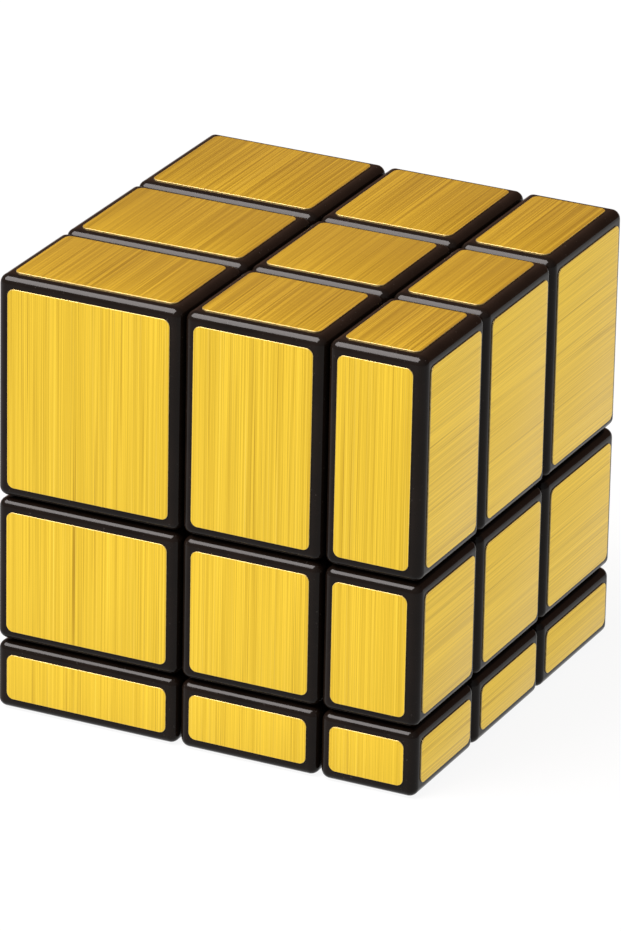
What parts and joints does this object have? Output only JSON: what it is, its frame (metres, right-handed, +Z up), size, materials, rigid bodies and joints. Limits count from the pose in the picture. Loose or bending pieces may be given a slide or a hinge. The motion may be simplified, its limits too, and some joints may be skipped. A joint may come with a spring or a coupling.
{
  "type": "mirror block cube puzzle",
  "caption": "Cube puzzle with turning layers whose blocks all have different sizes: black blocks with brushed gold film on every outer face.",
  "frame": {"origin": "middle of the cube's bottom face", "axes": "+Z up; the front face looks towards -Y and the right face towards +X; the layers' hinges all cross at the core centre, 6 mm right, 2 mm forward and 18.5 mm up"},
  "size_m": [0.057, 0.057, 0.057],
  "materials": {
    "black_plastic": "glossy moulded black plastic with rounded edges",
    "core_plastic": "natural off-white moulded plastic",
    "steel": "zinc-plated steel",
    "spring_steel": "drawn spring wire",
    "gold_film": "gold metallised film, brushed in one direction, satin"
  },
  "bodies": {
    "core": {"core": "core_plastic", "screw_right": "steel", "washer_right": "steel", "spring_right": "spring_steel", "screw_left": "steel", "washer_left": "steel", "spring_left": "spring_steel", "screw_back": "steel", "washer_back": "steel", "spring_back": "spring_steel", "screw_front": "steel", "washer_front": "steel", "spring_front": "spring_steel", "screw_top": "steel", "washer_top": "steel", "spring_top": "spring_steel", "screw_bottom": "steel", "washer_bottom": "steel", "spring_bottom": "spring_steel"},
    "right_centre": {"centre_right": "black_plastic", "cap_right": "black_plastic"},
    "left_centre": {"centre_left": "black_plastic", "cap_left": "black_plastic"},
    "back_centre": {"centre_back": "black_plastic", "cap_back": "black_plastic"},
    "front_centre": {"centre_front": "black_plastic", "cap_front": "black_plastic"},
    "top_centre": {"centre_top": "black_plastic", "cap_top": "black_plastic"},
    "bottom_centre": {"centre_bottom": "black_plastic", "cap_bottom": "black_plastic"},
    "edge_back_right": {"edge_back_right": "black_plastic"},
    "edge_front_right": {"edge_front_right": "black_plastic"},
    "edge_top_right": {"edge_top_right": "black_plastic"},
    "edge_bottom_right": {"edge_bottom_right": "black_plastic"},
    "edge_back_left": {"edge_back_left": "black_plastic"},
    "edge_front_left": {"edge_front_left": "black_plastic"},
    "edge_top_left": {"edge_top_left": "black_plastic"},
    "edge_bottom_left": {"edge_bottom_left": "black_plastic"},
    "edge_top_back": {"edge_top_back": "black_plastic"},
    "edge_bottom_back": {"edge_bottom_back": "black_plastic"},
    "edge_top_front": {"edge_top_front": "black_plastic"},
    "edge_bottom_front": {"edge_bottom_front": "black_plastic"},
    "corner_top_back_right": {"corner_top_back_right": "black_plastic"},
    "corner_bottom_back_right": {"corner_bottom_back_right": "black_plastic"},
    "corner_top_front_right": {"corner_top_front_right": "black_plastic"},
    "corner_bottom_front_right": {"corner_bottom_front_right": "black_plastic"},
    "corner_top_back_left": {"corner_top_back_left": "black_plastic"},
    "corner_bottom_back_left": {"corner_bottom_back_left": "black_plastic"},
    "corner_top_front_left": {"corner_top_front_left": "black_plastic"},
    "corner_bottom_front_left": {"corner_bottom_front_left": "black_plastic"}
  },
  "joints": [
    {"name": "right_turn", "type": "hinge", "parent": "core", "child": "right_centre", "pos_m": [0.006, -0.002, 0.0185], "axis": [1, 0, 0], "continuous": true},
    {"name": "left_turn", "type": "hinge", "parent": "core", "child": "left_centre", "pos_m": [0.006, -0.002, 0.0185], "axis": [1, 0, 0], "continuous": true},
    {"name": "back_turn", "type": "hinge", "parent": "core", "child": "back_centre", "pos_m": [0.006, -0.002, 0.0185], "axis": [0, 1, 0], "continuous": true},
    {"name": "front_turn", "type": "hinge", "parent": "core", "child": "front_centre", "pos_m": [0.006, -0.002, 0.0185], "axis": [0, 1, 0], "continuous": true},
    {"name": "top_turn", "type": "hinge", "parent": "core", "child": "top_centre", "pos_m": [0.006, -0.002, 0.0185], "axis": [0, 0, 1], "continuous": true},
    {"name": "bottom_turn", "type": "hinge", "parent": "core", "child": "bottom_centre", "pos_m": [0.006, -0.002, 0.0185], "axis": [0, 0, 1], "continuous": true},
    {"name": "edge_back_right_turn", "type": "hinge", "parent": "right_centre", "child": "edge_back_right", "pos_m": [0.006, -0.002, 0.0185], "axis": [0, 1, 0], "continuous": true},
    {"name": "edge_front_right_turn", "type": "hinge", "parent": "right_centre", "child": "edge_front_right", "pos_m": [0.006, -0.002, 0.0185], "axis": [0, 1, 0], "continuous": true},
    {"name": "edge_top_right_turn", "type": "hinge", "parent": "top_centre", "child": "edge_top_right", "pos_m": [0.006, -0.002, 0.0185], "axis": [1, 0, 0], "continuous": true},
    {"name": "edge_bottom_right_turn", "type": "hinge", "parent": "bottom_centre", "child": "edge_bottom_right", "pos_m": [0.006, -0.002, 0.0185], "axis": [1, 0, 0], "continuous": true},
    {"name": "edge_back_left_turn", "type": "hinge", "parent": "left_centre", "child": "edge_back_left", "pos_m": [0.006, -0.002, 0.0185], "axis": [0, 1, 0], "continuous": true},
    {"name": "edge_front_left_turn", "type": "hinge", "parent": "left_centre", "child": "edge_front_left", "pos_m": [0.006, -0.002, 0.0185], "axis": [0, 1, 0], "continuous": true},
    {"name": "edge_top_left_turn", "type": "hinge", "parent": "top_centre", "child": "edge_top_left", "pos_m": [0.006, -0.002, 0.0185], "axis": [1, 0, 0], "continuous": true},
    {"name": "edge_bottom_left_turn", "type": "hinge", "parent": "bottom_centre", "child": "edge_bottom_left", "pos_m": [0.006, -0.002, 0.0185], "axis": [1, 0, 0], "continuous": true},
    {"name": "edge_top_back_turn", "type": "hinge", "parent": "back_centre", "child": "edge_top_back", "pos_m": [0.006, -0.002, 0.0185], "axis": [0, 0, 1], "continuous": true},
    {"name": "edge_bottom_back_turn", "type": "hinge", "parent": "back_centre", "child": "edge_bottom_back", "pos_m": [0.006, -0.002, 0.0185], "axis": [0, 0, 1], "continuous": true},
    {"name": "edge_top_front_turn", "type": "hinge", "parent": "front_centre", "child": "edge_top_front", "pos_m": [0.006, -0.002, 0.0185], "axis": [0, 0, 1], "continuous": true},
    {"name": "edge_bottom_front_turn", "type": "hinge", "parent": "front_centre", "child": "edge_bottom_front", "pos_m": [0.006, -0.002, 0.0185], "axis": [0, 0, 1], "continuous": true},
    {"name": "corner_top_back_right_turn", "type": "hinge", "parent": "edge_top_back", "child": "corner_top_back_right", "pos_m": [0.006, -0.002, 0.0185], "axis": [1, 0, 0], "continuous": true},
    {"name": "corner_bottom_back_right_turn", "type": "hinge", "parent": "edge_bottom_back", "child": "corner_bottom_back_right", "pos_m": [0.006, -0.002, 0.0185], "axis": [1, 0, 0], "continuous": true},
    {"name": "corner_top_front_right_turn", "type": "hinge", "parent": "edge_top_right", "child": "corner_top_front_right", "pos_m": [0.006, -0.002, 0.0185], "axis": [0, 1, 0], "continuous": true},
    {"name": "corner_bottom_front_right_turn", "type": "hinge", "parent": "edge_front_right", "child": "corner_bottom_front_right", "pos_m": [0.006, -0.002, 0.0185], "axis": [0, 0, 1], "continuous": true},
    {"name": "corner_top_back_left_turn", "type": "hinge", "parent": "edge_back_left", "child": "corner_top_back_left", "pos_m": [0.006, -0.002, 0.0185], "axis": [0, 0, 1], "continuous": true},
    {"name": "corner_bottom_back_left_turn", "type": "hinge", "parent": "edge_bottom_left", "child": "corner_bottom_back_left", "pos_m": [0.006, -0.002, 0.0185], "axis": [0, 1, 0], "continuous": true},
    {"name": "corner_top_front_left_turn", "type": "hinge", "parent": "edge_top_front", "child": "corner_top_front_left", "pos_m": [0.006, -0.002, 0.0185], "axis": [1, 0, 0], "continuous": true},
    {"name": "corner_bottom_front_left_turn", "type": "hinge", "parent": "edge_bottom_front", "child": "corner_bottom_front_left", "pos_m": [0.006, -0.002, 0.0185], "axis": [1, 0, 0], "continuous": true}
  ],
  "couplings": [
    {"joint": "edge_back_right_turn", "follows": "back_turn", "ratio": 1},
    {"joint": "edge_front_right_turn", "follows": "front_turn", "ratio": 1},
    {"joint": "edge_top_right_turn", "follows": "right_turn", "ratio": 1},
    {"joint": "edge_bottom_right_turn", "follows": "right_turn", "ratio": 1},
    {"joint": "edge_back_left_turn", "follows": "back_turn", "ratio": 1},
    {"joint": "edge_front_left_turn", "follows": "front_turn", "ratio": 1},
    {"joint": "edge_top_left_turn", "follows": "left_turn", "ratio": 1},
    {"joint": "edge_bottom_left_turn", "follows": "left_turn", "ratio": 1},
    {"joint": "edge_top_back_turn", "follows": "top_turn", "ratio": 1},
    {"joint": "edge_bottom_back_turn", "follows": "bottom_turn", "ratio": 1},
    {"joint": "edge_top_front_turn", "follows": "top_turn", "ratio": 1},
    {"joint": "edge_bottom_front_turn", "follows": "bottom_turn", "ratio": 1},
    {"joint": "corner_top_back_right_turn", "follows": "right_turn", "ratio": 1},
    {"joint": "corner_bottom_back_right_turn", "follows": "right_turn", "ratio": 1},
    {"joint": "corner_top_front_right_turn", "follows": "front_turn", "ratio": 1},
    {"joint": "corner_bottom_front_right_turn", "follows": "bottom_turn", "ratio": 1},
    {"joint": "corner_top_back_left_turn", "follows": "top_turn", "ratio": 1},
    {"joint": "corner_bottom_back_left_turn", "follows": "back_turn", "ratio": 1},
    {"joint": "corner_top_front_left_turn", "follows": "left_turn", "ratio": 1},
    {"joint": "corner_bottom_front_left_turn", "follows": "left_turn", "ratio": 1}
  ]
}
